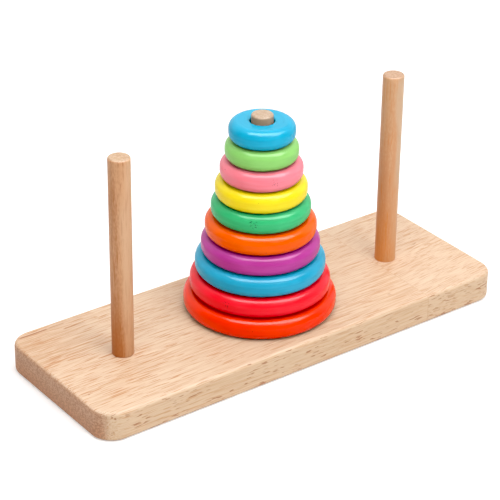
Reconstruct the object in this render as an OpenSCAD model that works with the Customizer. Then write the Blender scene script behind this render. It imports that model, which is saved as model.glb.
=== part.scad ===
// Tower of hanoi puzzle: ten rings stacked on the middle one of three pegs, on a solid board.
// The origin is the centre of the board's underside. +X runs along the board and +Z points up.

/* [Board] */
// Length of the board, along X
board_length = 285; // [240:1:400]
// Width of the board, along Y
board_width = 104; // [94:1:160]
// Thickness of the board
board_thickness = 18; // [15:0.5:30]
// Radius of the board's four corners, seen from above
corner_radius = 13.5; // [6:0.5:30]
// Rounding of the board's upper edge
top_rounding = 2.5; // [1:0.25:5]
// Rounding of the board's lower edge
bottom_rounding = 2; // [1:0.25:5]

/* [Pegs] */
// Diameter of a peg
peg_diameter = 12.7; // [10:0.1:14]
// Height of a peg above the board
peg_height = 123; // [121:0.5:200]
// Distance from the middle peg to each outer peg
peg_spacing = 96.25; // [93:0.25:110]
// Rounding of a peg's upper end
tip_rounding = 1.2; // [0.4:0.1:4]
// Length of the end that is glued into the board
tenon_length = 12; // [6:0.5:16]
// How much smaller the radius of the glued end is
tenon_step = 0.2; // [0.2:0.05:1.5]
// Gap for glue round the tenon
glue_gap = 0.05; // [0.02:0.01:0.15]

/* [Discs] */
// Thickness of every disc
disc_thickness = 11.9; // [10.2:0.1:12]
// Diameter of the hole through every disc
hole_diameter = 14.4; // [14.2:0.1:18]
// Rounding of a disc's outer rim
rim_rounding = 4.9; // [1:0.1:5.8]
// Rounding of the edges of a disc's hole
hole_rounding = 0.8; // [0.2:0.1:2]
// Diameter of disc 1, the smallest, at the top
disc_01_diameter = 38.5; // [34:0.5:140]
// Diameter of disc 2
disc_02_diameter = 42.5; // [34:0.5:140]
// Diameter of disc 3
disc_03_diameter = 48; // [34:0.5:140]
// Diameter of disc 4
disc_04_diameter = 53.5; // [34:0.5:140]
// Diameter of disc 5
disc_05_diameter = 58; // [34:0.5:140]
// Diameter of disc 6
disc_06_diameter = 65; // [34:0.5:140]
// Diameter of disc 7
disc_07_diameter = 69.5; // [34:0.5:140]
// Diameter of disc 8
disc_08_diameter = 76.5; // [34:0.5:140]
// Diameter of disc 9
disc_09_diameter = 82.5; // [34:0.5:140]
// Diameter of disc 10, the largest, at the bottom
disc_10_diameter = 90; // [34:0.5:140]

/* [Hidden] */
$fn = 96;

disc_count = 10;
peg_radius = peg_diameter / 2;
tenon_radius = peg_radius - tenon_step;
tenon_chamfer = 0.8;
socket_radius = tenon_radius + glue_gap;
socket_depth = tenon_length + 0.5;
straight_length = board_length - 2 * corner_radius;
straight_width = board_width - 2 * corner_radius;

// A flat outline of a given width and height, from x = 0, with its outer side's corners rounded.
module half_profile(width, height, lower_r, upper_r) {
    square([width - max(lower_r, upper_r), height]);
    translate([0, lower_r])
        square([width, height - lower_r - upper_r]);
    square([width - lower_r, lower_r]);
    translate([0, height - upper_r])
        square([width - upper_r, upper_r]);
    translate([width - lower_r, lower_r])
        circle(r = lower_r);
    translate([width - upper_r, height - upper_r])
        circle(r = upper_r);
}

// The board's cross-section: two half profiles, back to back.
module board_profile(width) {
    for (side = [0, 1])
        mirror([side, 0])
            half_profile(width / 2, board_thickness, bottom_rounding, top_rounding);
}

// One rounded corner post of the board, standing on its own axis.
module corner_post() {
    rotate_extrude(angle = 90)
        half_profile(corner_radius, board_thickness, bottom_rounding, top_rounding);
}

// The whole board before drilling: two crossed slabs and four corner posts.
module board_blank() {
    rotate([90, 0, 90])
        translate([0, 0, -straight_length / 2])
            linear_extrude(height = straight_length)
                board_profile(board_width);
    rotate([90, 0, 0])
        translate([0, 0, -straight_width / 2])
            linear_extrude(height = straight_width)
                board_profile(board_length);
    for (x_side = [0, 1], y_side = [0, 1])
        mirror([x_side, 0, 0])
            mirror([0, y_side, 0])
                translate([straight_length / 2, straight_width / 2, 0])
                    corner_post();
}

// A peg at the given distance along X: a dowel with a rounded tip and a turned-down glued end.
module peg(x) {
    translate([x, 0, board_thickness]) {
        rotate_extrude() {
            square([peg_radius, peg_height - tip_rounding]);
            square([peg_radius - tip_rounding, peg_height]);
            translate([peg_radius - tip_rounding, peg_height - tip_rounding])
                circle(r = tip_rounding);
        }
        translate([0, 0, tenon_chamfer - tenon_length])
            cylinder(h = tenon_length - tenon_chamfer, r = tenon_radius);
        translate([0, 0, -tenon_length])
            cylinder(h = tenon_chamfer, r1 = tenon_radius - tenon_chamfer, r2 = tenon_radius);
    }
}

// A disc of the stack, counted from 1 at the top: a flat ring with a full rounded rim.
module disc(number, diameter) {
    band = diameter / 2 - hole_diameter / 2;
    middle = band / 2;
    translate([0, 0, board_thickness + (disc_count - number) * disc_thickness])
        rotate_extrude()
            translate([hole_diameter / 2 + middle, 0]) {
                half_profile(band - middle, disc_thickness, rim_rounding, rim_rounding);
                mirror([1, 0])
                    half_profile(middle, disc_thickness, hole_rounding, hole_rounding);
            }
}

module base_board() {
    color("burlywood")
        difference() {
            board_blank();
            for (x = [-peg_spacing, 0, peg_spacing])
                translate([x, 0, board_thickness - socket_depth])
                    cylinder(h = socket_depth + 1, r = socket_radius);
        }
}

module peg_left() {
    color("peru") peg(-peg_spacing);
}

module peg_centre() {
    color("peru") peg(0);
}

module peg_right() {
    color("peru") peg(peg_spacing);
}

module disc_01() {
    color("deepskyblue") disc(1, disc_01_diameter);
}

module disc_02() {
    color("lightgreen") disc(2, disc_02_diameter);
}

module disc_03() {
    color("lightcoral") disc(3, disc_03_diameter);
}

module disc_04() {
    color("gold") disc(4, disc_04_diameter);
}

module disc_05() {
    color("mediumseagreen") disc(5, disc_05_diameter);
}

module disc_06() {
    color("darkorange") disc(6, disc_06_diameter);
}

module disc_07() {
    color("mediumorchid") disc(7, disc_07_diameter);
}

module disc_08() {
    color("steelblue") disc(8, disc_08_diameter);
}

module disc_09() {
    color("crimson") disc(9, disc_09_diameter);
}

module disc_10() {
    color("orangered") disc(10, disc_10_diameter);
}

base_board();
peg_left();
peg_centre();
peg_right();
disc_01();
disc_02();
disc_03();
disc_04();
disc_05();
disc_06();
disc_07();
disc_08();
disc_09();
disc_10();
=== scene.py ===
import math

import bmesh
import bpy
from mathutils import Matrix, Vector


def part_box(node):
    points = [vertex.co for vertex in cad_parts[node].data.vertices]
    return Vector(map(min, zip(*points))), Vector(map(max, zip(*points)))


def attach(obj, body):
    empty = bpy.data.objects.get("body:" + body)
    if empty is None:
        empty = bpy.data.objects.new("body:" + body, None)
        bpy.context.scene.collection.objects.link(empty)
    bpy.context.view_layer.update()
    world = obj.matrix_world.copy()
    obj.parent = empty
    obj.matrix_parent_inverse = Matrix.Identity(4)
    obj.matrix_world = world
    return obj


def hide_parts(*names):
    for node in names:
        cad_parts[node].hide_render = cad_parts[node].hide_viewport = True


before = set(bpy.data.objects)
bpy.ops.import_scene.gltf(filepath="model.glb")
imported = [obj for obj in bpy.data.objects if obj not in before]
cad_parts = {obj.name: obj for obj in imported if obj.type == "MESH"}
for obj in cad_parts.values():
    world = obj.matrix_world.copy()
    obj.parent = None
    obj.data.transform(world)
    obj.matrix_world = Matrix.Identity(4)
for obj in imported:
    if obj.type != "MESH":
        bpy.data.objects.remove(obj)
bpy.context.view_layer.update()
boardLow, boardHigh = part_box("base_board")
boardTop = boardHigh.z
pegNodes = {"pegLeft": "peg_left", "pegCentre": "peg_centre", "pegRight": "peg_right"}

sameSpot = 1e-5  # metres within which two heights or radii count as the same
mergeGap = 1e-6
sharpAngle = 50  # degrees past which an edge stays crisp


# Links a socket to an input, or fills the input with a plain number, vector or colour.
def fillInput(tree, socket, value):
    if isinstance(value, bpy.types.NodeSocket):
        tree.links.new(value, socket)
    elif socket.type == "RGBA":
        socket.default_value = (*value[:3], 1)
    else:
        socket.default_value = value


# Adds a node, sets its plain settings, and links or fills its inputs.
def addNode(tree, kind, inputs=None, **settings):
    node = tree.nodes.new(kind)
    for name, value in settings.items():
        setattr(node, name, value)
    for name, value in (inputs or {}).items():
        fillInput(tree, node.inputs[name], value)
    return node


def addMath(tree, operation, first, second=0.0):
    return addNode(tree, "ShaderNodeMath", {0: first, 1: second}, operation=operation).outputs[0]


# How far a value lies from a centre, on either side.
def addGap(tree, value, centre):
    return addMath(tree, "ABSOLUTE", addMath(tree, "SUBTRACT", value, centre))


# The sum of several values, each times its share.
def addSum(tree, values, shares):
    total = None
    for value, share in zip(values, shares):
        part = addMath(tree, "MULTIPLY", value, share)
        total = part if total is None else addMath(tree, "ADD", total, part)
    return total


# Vector arithmetic, which gives a plain number where the operation does.
def addVector(tree, operation, first, second=(0, 0, 0)):
    node = addNode(tree, "ShaderNodeVectorMath", {0: first, 1: second}, operation=operation)
    return node.outputs["Value" if operation in ("DOT_PRODUCT", "LENGTH", "DISTANCE") else "Vector"]


def addSplit(tree, vector):
    parts = addNode(tree, "ShaderNodeSeparateXYZ", {0: vector}).outputs
    return parts["X"], parts["Y"], parts["Z"]


# Eases a value over a span into a target's span, and holds it past either end.
def addRange(tree, value, span, target=(0.0, 1.0)):
    inputs = {
        "Value": value,
        "From Min": span[0],
        "From Max": span[1],
        "To Min": target[0],
        "To Max": target[1],
    }
    return addNode(tree, "ShaderNodeMapRange", inputs, interpolation_type="SMOOTHSTEP").outputs["Result"]


# Mixes two colours, each a socket or a plain colour.
def addMix(tree, factor, first, second, blend="MIX"):
    inputs = {0: factor, 6: first, 7: second}
    return addNode(tree, "ShaderNodeMix", inputs, data_type="RGBA", blend_type=blend).outputs[2]


# A pattern is noise given by its rate of change along each axis, its detail and its roughness.
def addNoise(tree, place, pattern):
    rates, detail, roughness = pattern
    scaled = addVector(tree, "MULTIPLY", place, rates)
    inputs = {"Vector": scaled, "Scale": 1.0, "Detail": detail, "Roughness": roughness}
    return addNode(tree, "ShaderNodeTexNoise", inputs).outputs["Fac"]


# A new shader node group, the sockets that it is given and the sockets that it hands on.
def startGroup(name, inputs, outputs):
    group = bpy.data.node_groups.new(name, "ShaderNodeTree")
    for label, (kind, value) in inputs.items():
        socket = group.interface.new_socket(label, in_out="INPUT", socket_type="NodeSocket" + kind)
        socket.default_value = value
    for label, kind in outputs.items():
        group.interface.new_socket(label, in_out="OUTPUT", socket_type="NodeSocket" + kind)
    given = addNode(group, "NodeGroupInput").outputs
    return group, given, addNode(group, "NodeGroupOutput")


def finishGroup(group, result, values):
    for label, value in values.items():
        fillInput(group, result.inputs[label], value)
    return group


def placeGroup(tree, group, inputs):
    return addNode(tree, "ShaderNodeGroup", inputs, node_tree=group).outputs


def startMaterial(name):
    material = bpy.data.materials.new(name)
    material.use_nodes = True
    tree = material.node_tree
    return material, tree, tree.nodes["Principled BSDF"].inputs


# Object coordinates in millimetres, turned and shifted by a Mapping node.
def addPlace(tree, coords, turn=(0, 0, 0), shift=(0, 0, 0)):
    inputs = {"Vector": coords["Object"], "Scale": (1000, 1000, 1000), "Rotation": turn, "Location": shift}
    return addNode(tree, "ShaderNodeMapping", inputs).outputs["Vector"]


# Colour, roughness and shallow relief of a finish, with its shine as a plain number.
def finishLook(tree, shader, colour, rough, height, look):
    fillInput(tree, shader["Base Color"], colour)
    fillInput(tree, shader["Roughness"], rough)
    shader["Specular IOR Level"].default_value = look["shine"]
    inputs = {"Height": height, "Distance": look["relief"], "Strength": look["reliefShare"]}
    fillInput(tree, shader["Normal"], addNode(tree, "ShaderNodeBump", inputs).outputs["Normal"])


# Makes a mesh object from a bmesh, which is used up.
def addObject(name, mesh):
    data = bpy.data.meshes.new(name)
    mesh.to_mesh(data)
    mesh.free()
    thing = bpy.data.objects.new(name, data)
    bpy.context.scene.collection.objects.link(thing)
    return thing


def finishPiece(name, mesh, material, body, node):
    for face in mesh.faces:
        face.smooth = True
    for edge in mesh.edges:
        edge.smooth = edge.calc_face_angle(0) < math.radians(sharpAngle)
    piece = addObject(name, mesh)
    piece.data.materials.append(material)
    weigh = piece.modifiers.new("evenNormals", "WEIGHTED_NORMAL")
    weigh.weight = 100
    weigh.keep_sharp = True
    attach(piece, body)
    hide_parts(node)


def roundEdges(mesh, edges, radius, segments):
    bmesh.ops.bevel(
        mesh,
        geom=edges,
        offset=radius,
        offset_type="OFFSET",
        affect="EDGES",
        segments=segments,
        profile=0.5,
        material=-1,
        clamp_overlap=False,
    )


# Turns a half outline, points of (radius, height), once round an upright axis.
def spinOutline(outline, axis, steps, closed=False):
    mesh = bmesh.new()
    points = [mesh.verts.new((axis.x + radius, axis.y, height)) for radius, height in outline]
    followers = points[1:] + (points[:1] if closed else [])
    lines = [mesh.edges.new(pair) for pair in zip(points, followers)]
    bmesh.ops.spin(
        mesh,
        geom=points + lines,
        cent=axis,
        axis=(0, 0, 1),
        dvec=(0, 0, 0),
        angle=math.tau,
        steps=steps,
        use_merge=True,
    )
    bmesh.ops.remove_doubles(mesh, verts=mesh.verts, dist=mergeGap)
    bmesh.ops.recalc_face_normals(mesh, faces=mesh.faces)
    return mesh


# The edges of the circle of that radius round an upright axis, at that height.
def ringEdges(mesh, axis, radius, height):
    def onRing(vert):
        away = (vert.co.xy - axis.xy).length
        return abs(away - radius) < sameSpot and abs(vert.co.z - height) < sameSpot

    return [edge for edge in mesh.edges if onRing(edge.verts[0]) and onRing(edge.verts[1])]


shot = {
    "azimuth": -36.78,
    "elevation": 28.65,
    "roll": 0.75,
    "aim": (0.0, 0.0100, 0.0491),
    "distance": 1.1847,
    "lens": 145.2,
    "sensor": 36,
    "nearest": 0.05,
}

studio = {
    "floorSize": 12.0,
    "floorDrop": 0.0002,  # how far the floor lies below the board, so that the two never coincide
    "floorColour": (0.80, 0.80, 0.80),
    "floorRoughness": 0.9,
    "floorShine": 0.1,
    "floorGlow": 0.34,
    "room": (0.30, 0.30, 0.31),
    "backdrop": (1.15, 1.15, 1.15),
    "backdropHeight": (0.75, 0.97),
    "backdropSpread": (-0.1, 0.4),
    "farWall": (0.75, 0.75, 0.75),
    "lampAim": (0.0, 0.0, 0.05),
    "blackPoint": 0.016,
}

# Where each softbox hangs, seen from the camera: to the right, toward the camera, and up.
softboxes = {
    "overheadLight": {"spot": (0.20, 0.32, 0.95), "size": (1.10, 0.80), "power": 8.6, "seen": "diffuse"},
    "glintLight": {"spot": (0.15, 0.12, 1.00), "size": (1.50, 0.60), "power": 32.0, "seen": "glossy"},
    "sideLight": {"spot": (0.60, 0.75, 0.70), "size": (0.50, 0.50), "power": 2.1, "seen": "diffuse"},
    "fillLight": {"spot": (-0.55, 0.80, 0.75), "size": (0.50, 0.50), "power": 1.3, "seen": "diffuse"},
}


def placeCamera():
    camera = bpy.data.objects.new("camera", bpy.data.cameras.new("camera"))
    bpy.context.scene.collection.objects.link(camera)
    turn = (
        Matrix.Rotation(math.radians(shot["azimuth"]), 4, "Z")
        @ Matrix.Rotation(math.radians(90 - shot["elevation"]), 4, "X")
        @ Matrix.Rotation(math.radians(shot["roll"]), 4, "Z")
    )
    back = turn.to_3x3() @ Vector((0, 0, 1))
    camera.matrix_world = Matrix.Translation(Vector(shot["aim"]) + back * shot["distance"]) @ turn
    camera.data.lens = shot["lens"]
    camera.data.sensor_width = shot["sensor"]
    camera.data.clip_start = shot["nearest"]
    bpy.context.scene.camera = camera


# A softbox that faces the puzzle, with its long side level with the camera's own.
def addSoftbox(name, box):
    light = bpy.data.lights.new(name, "AREA")
    light.shape = "RECTANGLE"
    light.size, light.size_y = box["size"]
    light.energy = box["power"]
    lamp = bpy.data.objects.new(name, light)
    heading = Matrix.Rotation(math.radians(shot["azimuth"]), 3, "Z")
    right, nearer, up = box["spot"]
    offset = heading @ Vector((right, -nearer, up))
    away = offset.normalized()
    level = heading @ Vector((1, 0, 0))
    side = (level - away * level.dot(away)).normalized()
    turn = Matrix((side, away.cross(side), away)).transposed()
    lamp.matrix_world = Matrix.Translation(Vector(studio["lampAim"]) + offset) @ turn.to_4x4()
    lamp.visible_glossy = box["seen"] == "glossy"
    lamp.visible_diffuse = box["seen"] == "diffuse"
    bpy.context.scene.collection.objects.link(lamp)


# A dim room with a bright low backdrop behind the puzzle, and a far wall that only the camera sees.
def lightRoom():
    world = bpy.data.worlds.new("room")
    bpy.context.scene.world = world
    world.use_nodes = True
    tree = world.node_tree
    tree.nodes.clear()
    outward = addNode(tree, "ShaderNodeTexCoord").outputs["Generated"]
    heading = math.radians(shot["azimuth"])
    behind = addVector(tree, "DOT_PRODUCT", outward, (-math.sin(heading), math.cos(heading), 0))
    height = addSplit(tree, outward)[2]
    low = addRange(tree, height, studio["backdropHeight"], (1.0, 0.0))
    share = addMath(tree, "MULTIPLY", addRange(tree, behind, studio["backdropSpread"]), low)
    shade = addMix(tree, share, studio["room"], studio["backdrop"])
    seen = addNode(tree, "ShaderNodeLightPath").outputs["Is Camera Ray"]
    shade = addMix(tree, seen, shade, studio["farWall"])
    glow = addNode(tree, "ShaderNodeBackground", {"Color": shade})
    addNode(tree, "ShaderNodeOutputWorld", {"Surface": glow.outputs[0]})
    for name, box in softboxes.items():
        addSoftbox(name, box)


# Plain display colours, with the darkest tones pulled down to black.
def setExposure():
    settings = bpy.context.scene.view_settings
    settings.view_transform = "Standard"
    settings.use_curve_mapping = True
    settings.curve_mapping.black_level = (studio["blackPoint"],) * 3
    settings.curve_mapping.update()


# A pale floor that glows a little for the camera alone.
def layFloor():
    mesh = bmesh.new()
    bmesh.ops.create_grid(mesh, x_segments=1, y_segments=1, size=studio["floorSize"] / 2)
    floor = addObject("floor", mesh)
    floor.location.z = boardLow.z - studio["floorDrop"]
    paper, tree, shader = startMaterial("paleFloor")
    fillInput(tree, shader["Base Color"], studio["floorColour"])
    shader["Roughness"].default_value = studio["floorRoughness"]
    shader["Specular IOR Level"].default_value = studio["floorShine"]
    fillInput(tree, shader["Emission Color"], (1, 1, 1))
    seen = addNode(tree, "ShaderNodeLightPath").outputs["Is Camera Ray"]
    fillInput(tree, shader["Emission Strength"], addMath(tree, "MULTIPLY", seen, studio["floorGlow"]))
    floor.data.materials.append(paper)


# The patterns in bare wood, per millimetre with the grain along X, and how they are read.
bareWood = {
    "sway": ((0.010, 0.03, 0.03), 1.0, 0.5),
    "fibre": ((0.05, 1.9, 1.9), 2.0, 0.6),
    "streak": ((0.020, 0.95, 0.90), 2.0, 0.65),
    "zone": ((0.011, 0.075, 0.06), 1.0, 0.5),
    "thread": ((0.065, 1.20, 1.10), 1.0, 0.6),
    "dash": ((0.15, 0.90, 0.95), 1.0, 0.4),
    "patch": ((0.05, 0.12, 0.12), 1.0, 0.5),
    "zoneSpan": (0.35, 0.65),
    "lineLimit": (0.60, 0.565),  # a thread above this shows as a line, more of them in a high zone
    "lineEdge": (0.0, 0.06),
    "patchSpan": (0.35, 0.60),
    "poreLimit": 0.82,
    "poreGain": 0.18,
    "poreEdge": (0.0, 0.06),
    "fibreRise": 0.5,
    "roughSpan": (0.3, 0.7),
    "roughness": (0.42, 0.55),
}


def buildGrainGroup():
    group, given, result = startGroup(
        "woodGrain",
        {"Place": ("Vector", (0, 0, 0)), "Pores": ("Float", 0.5), "Wander": ("Float", 1.0)},
        dict.fromkeys(("Fibre", "Streak", "Zone", "Line", "Pore", "Height", "Roughness"), "Float"),
    )
    place = given["Place"]
    sway = addMath(group, "SUBTRACT", addNoise(group, place, bareWood["sway"]), 0.5)
    shift = addMath(group, "MULTIPLY", sway, given["Wander"])
    bend = addNode(group, "ShaderNodeCombineXYZ", {"Y": shift, "Z": shift}).outputs[0]
    bent = addVector(group, "ADD", place, bend)
    fibre = addNoise(group, bent, bareWood["fibre"])
    zone = addNoise(group, bent, bareWood["zone"])
    limit = addRange(group, zone, bareWood["zoneSpan"], bareWood["lineLimit"])
    above = addMath(group, "SUBTRACT", addNoise(group, bent, bareWood["thread"]), limit)
    line = addRange(group, above, bareWood["lineEdge"])
    patch = addRange(group, addNoise(group, place, bareWood["patch"]), bareWood["patchSpan"])
    gain = addMath(group, "MULTIPLY", given["Pores"], bareWood["poreGain"])
    limit = addMath(group, "SUBTRACT", bareWood["poreLimit"], gain)
    above = addMath(group, "SUBTRACT", addNoise(group, bent, bareWood["dash"]), limit)
    pore = addMath(group, "MULTIPLY", addRange(group, above, bareWood["poreEdge"]), patch)
    rise = addMath(group, "MULTIPLY", fibre, bareWood["fibreRise"])
    values = {
        "Fibre": fibre,
        "Streak": addNoise(group, bent, bareWood["streak"]),
        "Zone": zone,
        "Line": line,
        "Pore": pore,
        "Height": addMath(group, "SUBTRACT", rise, pore),
        "Roughness": addRange(group, fibre, bareWood["roughSpan"], bareWood["roughness"]),
    }
    return finishGroup(group, result, values)


board = {
    "cornerRadius": 0.0135,
    "topEdge": 0.0025,
    "bottomEdge": 0.0020,
    "cornerSegments": 18,
    "edgeSegments": 8,
    "socketRadius": 0.0062,
    "socketSpare": 0.0005,  # how much deeper a socket is than the peg's glued end
    "socketSteps": 96,
    "socketEase": 0.0002,
    "easeSegments": 2,
    "drillRise": 0.002,
    "light": (0.80, 0.60, 0.425),
    "middle": (0.75, 0.52, 0.347),
    "dark": (0.64, 0.385, 0.22),
    "line": (0.60, 0.29, 0.135),
    "sawn": (0.725, 0.525, 0.325),
    "pore": (0.40, 0.125, 0.038),
    "end": (0.605, 0.36, 0.225),
    # the end grain's tone near the underside, darker as painted shade
    "endShadeLow": (0.60, 0.30, 0.165),
    "endDark": (0.44, 0.21, 0.11),
    "wander": 5.0,
    "toneShares": (0.62, 0.38),  # of the fibre and of the streaks
    "zoneSpan": (0.36, 0.62),
    "depth": (0.44, 0.475),
    "darkSpan": (-0.13, 0.03),
    "lightSpan": (0.0, 0.14),
    "cornerX": (-95.0, -135.0),  # the far left corner is darker, partly painted shadow of the left peg and partly darker wood: where that begins and is complete
    "cornerY": (-8.0, 30.0),
    "cornerShadeDepth": 0.11,
    "busyX": (-30.0, -110.0),  # lines are stronger toward the left
    "lineShare": (0.60, 1.02),
    "jointX": 0.0870,  # the glue joint, beyond which the grain is another timber's
    "jointBlend": 0.1,
    "seam": (0.05, 0.40),
    "seamShare": 0.45,
    "beyondTurn": (0, -3, -6),
    "beyondShift": (170, 40, 15),
    "beyondPaler": 0.10,
    "beyondPores": 0.28,
    "sawnSpan": (0.3, 0.8),
    "pores": (0.45, 1.09),  # above and below, and on the sawn sides
    "poreSpan": (0.45, 1.0),
    "poreShare": (0.45, 0.75),
    "sawnToneSpan": (0.5, 0.9),
    "sawnShare": 0.42,
    "endSpan": (0.55, 0.9),
    "endShare": 0.92,
    "endShadeHeight": (3.0, 14.0),
    "endMottle": (0.44, 0.56),
    "ring": ((0.05, 0.55, 0.90), 2.0, 0.7),
    "ringShares": (0.5, 0.5),
    "markTop": (-1.0, -0.5),  # marks fade in over these heights, in millimetres from the top
    "shine": 0.35,
    "relief": 0.00010,
    "reliefShare": 0.5,
}

# Dark mineral marks on the top, in millimetres: centre X, centre Y, length, width and strength.
marks = [
    (-127.3, 46.5, 21.0, 1.2, 0.95),
    (-112.0, 46.7, 12.0, 1.0, 0.50),
    (-135.8, -26.4, 1.4, 1.0, 0.60),
    (-103.0, 41.0, 16.0, 0.9, 0.40),
]


# How much a mark shows: fully at its middle, fading toward its ends and sides.
def addMark(tree, x, y, mark):
    centreX, centreY, length, width, strength = mark
    ends = addRange(tree, addGap(tree, x, centreX), (length * 0.36, length * 0.5), (1.0, 0.0))
    sides = addRange(tree, addGap(tree, y, centreY), (width * 0.15, width * 0.6), (strength, 0.0))
    return addMath(tree, "MULTIPLY", ends, sides)


# The tone of planed wood: streaks from dark to light, darker in the far left corner partly as painted
# shadow and partly as darker wood, with fine lines over them.
def addPlanedTone(tree, wood, tone, x, y, beyond):
    depth = addRange(tree, wood["Zone"], board["zoneSpan"], board["depth"])
    leftward = addRange(tree, x, board["cornerX"])
    shadedCorner = addMath(tree, "MULTIPLY", leftward, addRange(tree, y, board["cornerY"]))
    depth = addMath(tree, "ADD", depth, addMath(tree, "MULTIPLY", shadedCorner, board["cornerShadeDepth"]))
    lift = addMath(tree, "SUBTRACT", tone, depth)
    planed = addMix(tree, addRange(tree, lift, board["darkSpan"]), board["dark"], board["middle"])
    planed = addMix(tree, addRange(tree, lift, board["lightSpan"]), planed, board["light"])
    paler = addMath(tree, "MULTIPLY", beyond, board["beyondPaler"])
    planed = addMix(tree, paler, planed, board["light"])
    busy = addRange(tree, x, board["busyX"], board["lineShare"])
    return addMix(tree, addMath(tree, "MULTIPLY", wood["Line"], busy), planed, board["line"])


# End grain: darker near the underside as painted shade, with the growth rings as a mottle.
def addEndTone(tree, place, tone, z):
    ring = addNoise(tree, place, board["ring"])
    mottle = addSum(tree, (ring, tone), board["ringShares"])
    ended = addMix(tree, addRange(tree, z, board["endShadeHeight"]), board["endShadeLow"], board["end"])
    return addMix(tree, addRange(tree, mottle, board["endMottle"]), board["endDark"], ended)


def makeBoardWood(grain):
    material, tree, shader = startMaterial("rubberwood")
    coords = addNode(tree, "ShaderNodeTexCoord").outputs
    place = addPlace(tree, coords)
    x, y, z = addSplit(tree, place)
    normalX, normalY = addSplit(tree, coords["Normal"])[:2]
    endward = addMath(tree, "ABSOLUTE", normalX)
    sideward = addMath(tree, "ABSOLUTE", normalY)
    jointX = board["jointX"] * 1000
    beyond = addRange(tree, x, (jointX - board["jointBlend"], jointX + board["jointBlend"]))
    askew = {
        "Vector": place,
        "Rotation": [math.radians(angle) for angle in board["beyondTurn"]],
        "Location": board["beyondShift"],
    }
    turned = addNode(tree, "ShaderNodeMapping", askew).outputs["Vector"]
    timbers = {0: beyond, 4: place, 5: turned}
    blended = addNode(tree, "ShaderNodeMix", timbers, data_type="VECTOR").outputs[1]
    sawnPores = addRange(tree, sideward, board["sawnSpan"], board["pores"])
    pores = addMath(tree, "ADD", sawnPores, addMath(tree, "MULTIPLY", beyond, board["beyondPores"]))
    wood = placeGroup(tree, grain, {"Place": blended, "Pores": pores, "Wander": board["wander"]})
    tone = addSum(tree, (wood["Fibre"], wood["Streak"]), board["toneShares"])
    colour = addPlanedTone(tree, wood, tone, x, y, beyond)
    sawnShare = addRange(tree, sideward, board["sawnToneSpan"], (0.0, board["sawnShare"]))
    colour = addMix(tree, sawnShare, colour, board["sawn"])
    endShare = addRange(tree, endward, board["endSpan"], (0.0, board["endShare"]))
    colour = addMix(tree, endShare, colour, addEndTone(tree, place, tone, z))
    seam = addRange(tree, addGap(tree, x, jointX), board["seam"], (board["seamShare"], 0.0))
    colour = addMix(tree, seam, colour, board["dark"])
    poreShare = addRange(tree, sawnPores, board["poreSpan"], board["poreShare"])
    colour = addMix(tree, addMath(tree, "MULTIPLY", wood["Pore"], poreShare), colour, board["pore"])
    high = addRange(tree, z, [boardTop * 1000 + rise for rise in board["markTop"]])
    for mark in marks:
        share = addMath(tree, "MULTIPLY", addMark(tree, x, y, mark), high)
        colour = addMix(tree, share, colour, board["pore"])
    finishLook(tree, shader, colour, wood["Roughness"], wood["Height"], board)
    return material


def pegAxis(node):
    low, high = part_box(node)
    return (low + high) / 2


# A drill bit that stands in one socket and out above the board.
def addDrill(node):
    axis = pegAxis(node)
    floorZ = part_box(node)[0].z - board["socketSpare"]
    topZ = boardTop + board["drillRise"]
    mesh = bmesh.new()
    bmesh.ops.create_cone(
        mesh,
        cap_ends=True,
        segments=board["socketSteps"],
        radius1=board["socketRadius"],
        radius2=board["socketRadius"],
        depth=topZ - floorZ,
        matrix=Matrix.Translation((axis.x, axis.y, (topZ + floorZ) / 2)),
    )
    return addObject("drill", mesh)


# Cuts the three sockets, and gives back the drilled mesh.
def drillSockets(mesh):
    blank = addObject("blank", mesh)
    drills = [addDrill(node) for node in pegNodes.values()]
    for drill in drills:
        cut = blank.modifiers.new("socket", "BOOLEAN")
        cut.object = drill
        cut.operation = "DIFFERENCE"
        cut.solver = "EXACT"
    drilled = bmesh.new()
    graph = bpy.context.evaluated_depsgraph_get()
    drilled.from_mesh(bpy.data.meshes.new_from_object(blank.evaluated_get(graph)))
    for thing in [blank, *drills]:
        bpy.data.objects.remove(thing)
    return drilled


def makeBoard(wood):
    size = boardHigh - boardLow
    mesh = bmesh.new()
    centre = Matrix.Translation((boardLow + boardHigh) / 2)
    bmesh.ops.create_cube(mesh, size=1.0, matrix=centre @ Matrix.Diagonal((*size, 1)))
    upright = [edge for edge in mesh.edges if abs(edge.verts[0].co.z - edge.verts[1].co.z) > size.z / 2]
    roundEdges(mesh, upright, board["cornerRadius"], board["cornerSegments"])
    for height, radius in ((boardHigh.z, board["topEdge"]), (boardLow.z, board["bottomEdge"])):
        level = {vert for vert in mesh.verts if abs(vert.co.z - height) < sameSpot}
        rim = [edge for edge in mesh.edges if level.issuperset(edge.verts)]
        roundEdges(mesh, rim, radius, board["edgeSegments"])
    mesh = drillSockets(mesh)
    for node in pegNodes.values():
        rim = ringEdges(mesh, pegAxis(node), board["socketRadius"], boardTop)
        roundEdges(mesh, rim, board["socketEase"], board["easeSegments"])
    finishPiece("board", mesh, wood, "base", "base_board")
    print("board made")


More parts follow.
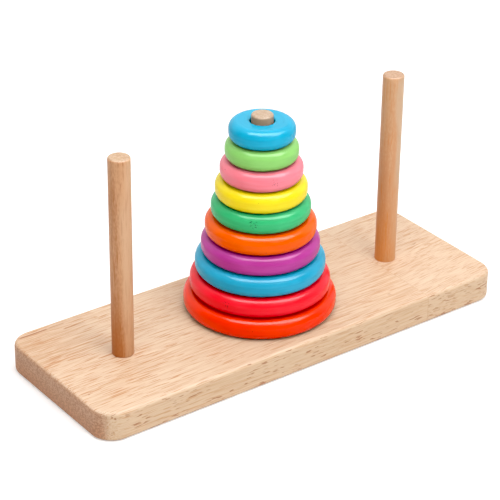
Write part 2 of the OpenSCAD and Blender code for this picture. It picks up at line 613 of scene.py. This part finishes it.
peg = {
    "tenonStep": 0.0002,
    "tenonChamfer": 0.0008,
    "tipRounding": 0.0012,
    "tipSegments": 6,
    "footEase": 0.00018,
    "footSegments": 2,
    "steps": 96,
    "pores": 0.25,
    "wander": 3.0,
    "fleck": ((0.40, 1.20, 1.20), 1.0, 0.5),
    "toneShares": (0.25, 0.25, 0.50),  # of the flecks, the streaks and the zones
    "toneSpan": (0.40, 0.58),
    "lineShare": 0.5,
    "poreShare": 0.4,
    "litSideFacing": (0.80, -0.60, 0.0),  # the way the painted sheen faces, toward the light on the right
    "litSideSpan": (0.1, 0.75),
    "wave": ((0.018, 0.06, 0.06), 1.0, 0.5),
    "waveSpan": (0.3, 0.7),
    "waveReach": (-0.45, 0.45),
    "footShadeSpan": (-0.01, 0.07),  # heights above the board over which the painted shade at the foot fades out
    "footShadeShare": (0.85, 0.0),
    # the painted shade at the foot is strongest on the side away from the light
    "footShadeSide": (-0.7, 0.6),
    "footShadeSideShare": (1.0, 0.35),
    # the centre peg's tip, inside the top disc's hole, gets a greyer painted shade
    "tipSpan": (0.1075, 0.1150),
    "tipShare": (0.0, 0.85),
    "endSpan": (0.5, 0.9),
    "endShade": (0.86, 0.76, 0.66),
    "speckle": ((0.3, 0.75, 0.75), 2.0, 0.7),
    "speckleSpan": (0.42, 0.57),
    "shine": 0.6,
    "relief": 0.0001,
    "reliefShare": 0.4,
}

# Each peg's own tones, among them a painted sheen and painted shade, and the place in the timber that it
# was cut from, in millimetres.
pegTones = {
    "pegLeft": {
        "light": (0.655, 0.345, 0.17),
        "dark": (0.51, 0.22, 0.083),
        "footShadeAndGrainTone": (0.43, 0.115, 0.010),
        "end": (0.61, 0.41, 0.253),
        "litSideSheen": (0.735, 0.485, 0.30),
        "litSideSheenShare": 0.5,
        "shift": (0, 0, 0),
    },
    "pegCentre": {
        "light": (0.68, 0.39, 0.205),
        "dark": (0.56, 0.27, 0.115),
        "footShadeAndGrainTone": (0.52, 0.18, 0.045),
        "end": (0.567, 0.419, 0.29),
        "litSideSheen": (0.70, 0.47, 0.30),
        "litSideSheenShare": 0.5,
        # greyer tone near the tip: painted shade from the top disc
        "tip": (0.47, 0.345, 0.2325),
        "shift": (61, 17, 29),
    },
    "pegRight": {
        "light": (0.715, 0.41, 0.215),
        "dark": (0.68, 0.33, 0.15),
        "footShadeAndGrainTone": (0.70, 0.235, 0.035),
        "end": (0.594, 0.37, 0.23),
        "litSideSheen": (0.655, 0.455, 0.29),
        "litSideSheenShare": 0.75,
        "shift": (122, 34, 58),
    },
}


# The round side of a peg: streaky, with a painted sheen on the side toward the light, and darker and
# redder toward the foot as painted shade, most on the side away from the light.
def addPegSide(tree, wood, tones, place, across, rise):
    fleck = addNoise(tree, place, peg["fleck"])
    tone = addSum(tree, (fleck, wood["Streak"], wood["Zone"]), peg["toneShares"])
    side = addMix(tree, addRange(tree, tone, peg["toneSpan"]), tones["dark"], tones["light"])
    side = addMix(tree, addMath(tree, "MULTIPLY", wood["Line"], peg["lineShare"]), side, tones["footShadeAndGrainTone"])
    # painted sheen on the side that faces the light
    paler = addMath(tree, "MULTIPLY", addRange(tree, across, peg["litSideSpan"]), tones["litSideSheenShare"])
    side = addMix(tree, paler, side, tones["litSideSheen"])
    # painted shade: darker and redder toward the foot, most on the side away from the light; the same tone
    # also colours the grain lines and pores
    low = addRange(tree, rise, peg["footShadeSpan"], peg["footShadeShare"])
    turned = addRange(tree, across, peg["footShadeSide"], peg["footShadeSideShare"])
    side = addMix(tree, addMath(tree, "MULTIPLY", low, turned), side, tones["footShadeAndGrainTone"])
    # painted shade near the centre peg's tip, where the top disc shades it
    if "tip" in tones:
        side = addMix(tree, addRange(tree, rise, peg["tipSpan"], peg["tipShare"]), side, tones["tip"])
    return addMix(tree, addMath(tree, "MULTIPLY", wood["Pore"], peg["poreShare"]), side, tones["footShadeAndGrainTone"])


def makePegWood(name, grain):
    tones = pegTones[name]
    material, tree, shader = startMaterial(name + "Wood")
    coords = addNode(tree, "ShaderNodeTexCoord").outputs
    place = addPlace(tree, coords, (0, math.radians(90), 0), tones["shift"])
    wood = placeGroup(tree, grain, {"Place": place, "Pores": peg["pores"], "Wander": peg["wander"]})
    # How far the surface faces the light on the right, for the painted sheen, made wavy by the grain.
    lightFacing = addVector(tree, "DOT_PRODUCT", coords["Normal"], peg["litSideFacing"])
    wave = addRange(tree, addNoise(tree, place, peg["wave"]), peg["waveSpan"], peg["waveReach"])
    across = addMath(tree, "ADD", lightFacing, wave)
    rise = addMath(tree, "SUBTRACT", addSplit(tree, coords["Object"])[2], boardTop)
    side = addPegSide(tree, wood, tones, place, across, rise)
    shaded = addMix(tree, 1.0, tones["end"], peg["endShade"], "MULTIPLY")
    speckle = addRange(tree, addNoise(tree, place, peg["speckle"]), peg["speckleSpan"])
    upward = addRange(tree, addSplit(tree, coords["Normal"])[2], peg["endSpan"])
    colour = addMix(tree, upward, side, addMix(tree, speckle, shaded, tones["end"]))
    finishLook(tree, shader, colour, wood["Roughness"], wood["Height"], peg)
    return material


def makePeg(name, node, wood):
    low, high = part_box(node)
    radius = (high.x - low.x) / 2
    tenon = radius - peg["tenonStep"]
    outline = [
        (0, low.z),
        (tenon - peg["tenonChamfer"], low.z),
        (tenon, low.z + peg["tenonChamfer"]),
        (tenon, boardTop),
        (radius, boardTop),
        (radius, high.z),
        (0, high.z),
    ]
    axis = pegAxis(node)
    mesh = spinOutline(outline, axis, peg["steps"])
    roundEdges(mesh, ringEdges(mesh, axis, radius, high.z), peg["tipRounding"], peg["tipSegments"])
    roundEdges(mesh, ringEdges(mesh, axis, radius, boardTop), peg["footEase"], peg["footSegments"])
    finishPiece(name, mesh, wood, "base", node)


disc = {
    "hole": 0.0072,
    "rimRounding": 0.0049,
    "holeRounding": 0.0008,
    "rimSegments": 14,
    "holeSegments": 5,
    "steps": 160,
    "pinholes": 0.5,
    "heldBack": 0.80,
    "patternStep": 53.0,  # millimetres of pattern between one disc and the next
    "shine": 0.25,
    "relief": 0.00008,
    "reliefShare": 0.5,
}

# Each disc's paint, from the top down: where it lies thick, and where it is thin.
paints = {
    "sky_blue": ((0.010, 0.395, 0.625), (0.020, 0.455, 0.69)),
    "light_green": ((0.275, 0.655, 0.158), (0.32, 0.71, 0.19)),
    "pink": ((0.97, 0.225, 0.28), (0.98, 0.27, 0.33)),
    "yellow": ((0.97, 0.74, 0.020), (0.98, 0.80, 0.028)),
    "green": ((0.046, 0.51, 0.185), (0.066, 0.57, 0.225)),
    "orange": ((0.97, 0.110, 0.001), (0.98, 0.135, 0.002)),
    "purple": ((0.49, 0.048, 0.305), (0.54, 0.064, 0.355)),
    "blue": ((0.020, 0.375, 0.59), (0.035, 0.425, 0.65)),
    "crimson": ((0.97, 0.014, 0.027), (0.98, 0.023, 0.041)),
    "orange_red": ((0.97, 0.031, 0.001), (0.98, 0.042, 0.001)),
}

# Small patches of pinholes in three of the discs: a point on the rim and a size, in millimetres.
wornSpots = {
    "pink": ((-7.5, -22.7, 108.5), 3.0),
    "green": ((-20.0, -20.3, 85.5), 3.8),
    "crimson": ((-37.3, -17.6, 37.4), 2.8),
}

# The patterns in the paint, per millimetre, and how they are read.
paintLayer = {
    "cloud": ((0.055, 0.055, 0.14), 2.0, 0.55),
    "turning": ((0.035, 0.035, 0.85), 2.0, 0.5),
    "coverShares": (0.6, 0.4),  # of the clouds and of the turning lines
    "coverSpan": (0.36, 0.64),
    "prick": ((1.5, 1.5, 0.8), 0.0, 0.5),
    "prickLimit": 0.88,
    "prickGain": 0.16,
    "prickEdge": (0.0, 0.05),
    "seldom": ((0.10, 0.10, 0.12), 0.0, 0.5),
    "seldomSpan": (0.64, 0.72),
    "nick": ((1.7, 1.7, 1.3), 0.0, 0.5),
    "nickSpan": (0.60, 0.67),
    "wornCore": 0.5,
    "holeShade": (0.42, 0.34, 0.34),
    "sheen": ((0.20, 0.20, 0.30), 2.0, 0.5),
    "sheenSpan": (0.3, 0.7),
    "roughness": (0.18, 0.25),
    "peel": ((0.16, 0.16, 0.22), 1.0, 0.5),
    "turningRise": 0.12,
    "holeDepth": 0.4,
}


# Where the paint has a pinhole: a rare one anywhere, and many near the worn spot.
def addPinholes(group, given):
    place = given["Place"]
    gain = addMath(group, "MULTIPLY", given["Pinholes"], paintLayer["prickGain"])
    limit = addMath(group, "SUBTRACT", paintLayer["prickLimit"], gain)
    above = addMath(group, "SUBTRACT", addNoise(group, place, paintLayer["prick"]), limit)
    seldom = addRange(group, addNoise(group, place, paintLayer["seldom"]), paintLayer["seldomSpan"])
    prick = addMath(group, "MULTIPLY", addRange(group, above, paintLayer["prickEdge"]), seldom)
    gap = addVector(group, "DISTANCE", place, given["Worn Spot"])
    core = addMath(group, "MULTIPLY", given["Worn Size"], paintLayer["wornCore"])
    worn = addRange(group, gap, (core, given["Worn Size"]), (1.0, 0.0))
    nick = addRange(group, addNoise(group, place, paintLayer["nick"]), paintLayer["nickSpan"])
    return addMath(group, "MAXIMUM", prick, addMath(group, "MULTIPLY", nick, worn))


# Paint over turned wood: slightly uneven cover, fine turning lines and an odd pinhole.
def buildPaintGroup():
    group, given, result = startGroup(
        "paintSkin",
        {
            "Place": ("Vector", (0, 0, 0)),
            "Colour": ("Color", (0.8, 0.8, 0.8, 1)),
            "Thin Colour": ("Color", (0.8, 0.8, 0.8, 1)),
            "Pinholes": ("Float", 0.5),
            "Worn Spot": ("Vector", (0, 0, 0)),
            "Worn Size": ("Float", 0.0),
        },
        {"Colour": "Color", "Roughness": "Float", "Height": "Float"},
    )
    place = given["Place"]
    x, y, z = addSplit(group, place)
    flat = addNode(group, "ShaderNodeCombineXYZ", {"X": x, "Y": y}).outputs[0]
    depth = addMath(group, "ADD", z, addVector(group, "LENGTH", flat))
    along = addNode(group, "ShaderNodeCombineXYZ", {"X": x, "Y": y, "Z": depth}).outputs[0]
    turning = addNoise(group, along, paintLayer["turning"])
    cloud = addNoise(group, place, paintLayer["cloud"])
    mixed = addSum(group, (cloud, turning), paintLayer["coverShares"])
    cover = addRange(group, mixed, paintLayer["coverSpan"])
    skin = addMix(group, cover, given["Colour"], given["Thin Colour"])
    hole = addPinholes(group, given)
    dark = addMix(group, 1.0, skin, paintLayer["holeShade"], "MULTIPLY")
    sheen = addNoise(group, place, paintLayer["sheen"])
    ridges = addMath(group, "MULTIPLY", turning, paintLayer["turningRise"])
    swell = addMath(group, "ADD", addNoise(group, place, paintLayer["peel"]), ridges)
    sunk = addMath(group, "MULTIPLY", hole, paintLayer["holeDepth"])
    values = {
        "Colour": addMix(group, hole, skin, dark),
        "Roughness": addRange(group, sheen, paintLayer["sheenSpan"], paintLayer["roughness"]),
        "Height": addMath(group, "SUBTRACT", swell, sunk),
    }
    return finishGroup(group, result, values)


# Light that bounces off one disc onto the next is held back, which keeps the gaps between them dark.
def makePaint(name, skin, shift):
    thick, thin = paints[name]
    spot, size = wornSpots.get(name, ((0, 0, 0), 0.0))
    material, tree, shader = startMaterial(name + "Paint")
    place = addPlace(tree, addNode(tree, "ShaderNodeTexCoord").outputs, shift=shift)
    inputs = {
        "Place": place,
        "Colour": thick,
        "Thin Colour": thin,
        "Pinholes": disc["pinholes"],
        "Worn Spot": Vector(spot) + Vector(shift),
        "Worn Size": size,
    }
    cover = placeGroup(tree, skin, inputs)
    bounced = addNode(tree, "ShaderNodeLightPath").outputs["Is Diffuse Ray"]
    held = addMath(tree, "MULTIPLY", bounced, disc["heldBack"])
    colour = addMix(tree, held, cover["Colour"], (0, 0, 0))
    finishLook(tree, shader, colour, cover["Roughness"], cover["Height"], disc)
    return material


def makeDisc(number, paint):
    node = f"disc_{number:02d}"
    low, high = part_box(node)
    axis = (low + high) / 2
    radius = (high.x - low.x) / 2
    hole = disc["hole"]
    outline = [(hole, low.z), (radius, low.z), (radius, high.z), (hole, high.z)]
    mesh = spinOutline(outline, axis, disc["steps"], closed=True)
    for height in (low.z, high.z):
        rim = ringEdges(mesh, axis, radius, height)
        roundEdges(mesh, rim, disc["rimRounding"], disc["rimSegments"])
        mouth = ringEdges(mesh, axis, hole, height)
        roundEdges(mesh, mouth, disc["holeRounding"], disc["holeSegments"])
    finishPiece(f"disc{number:02d}", mesh, paint, node, node)


setExposure()
placeCamera()
lightRoom()
layFloor()
print("studio ready")
grainGroup = buildGrainGroup()
makeBoard(makeBoardWood(grainGroup))
for pegName, pegNode in pegNodes.items():
    makePeg(pegName, pegNode, makePegWood(pegName, grainGroup))
print("pegs made")
paintGroup = buildPaintGroup()
for index, paintName in enumerate(paints):
    paint = makePaint(paintName, paintGroup, (0.0, 0.0, index * disc["patternStep"]))
    makeDisc(index + 1, paint)
print("discs made")
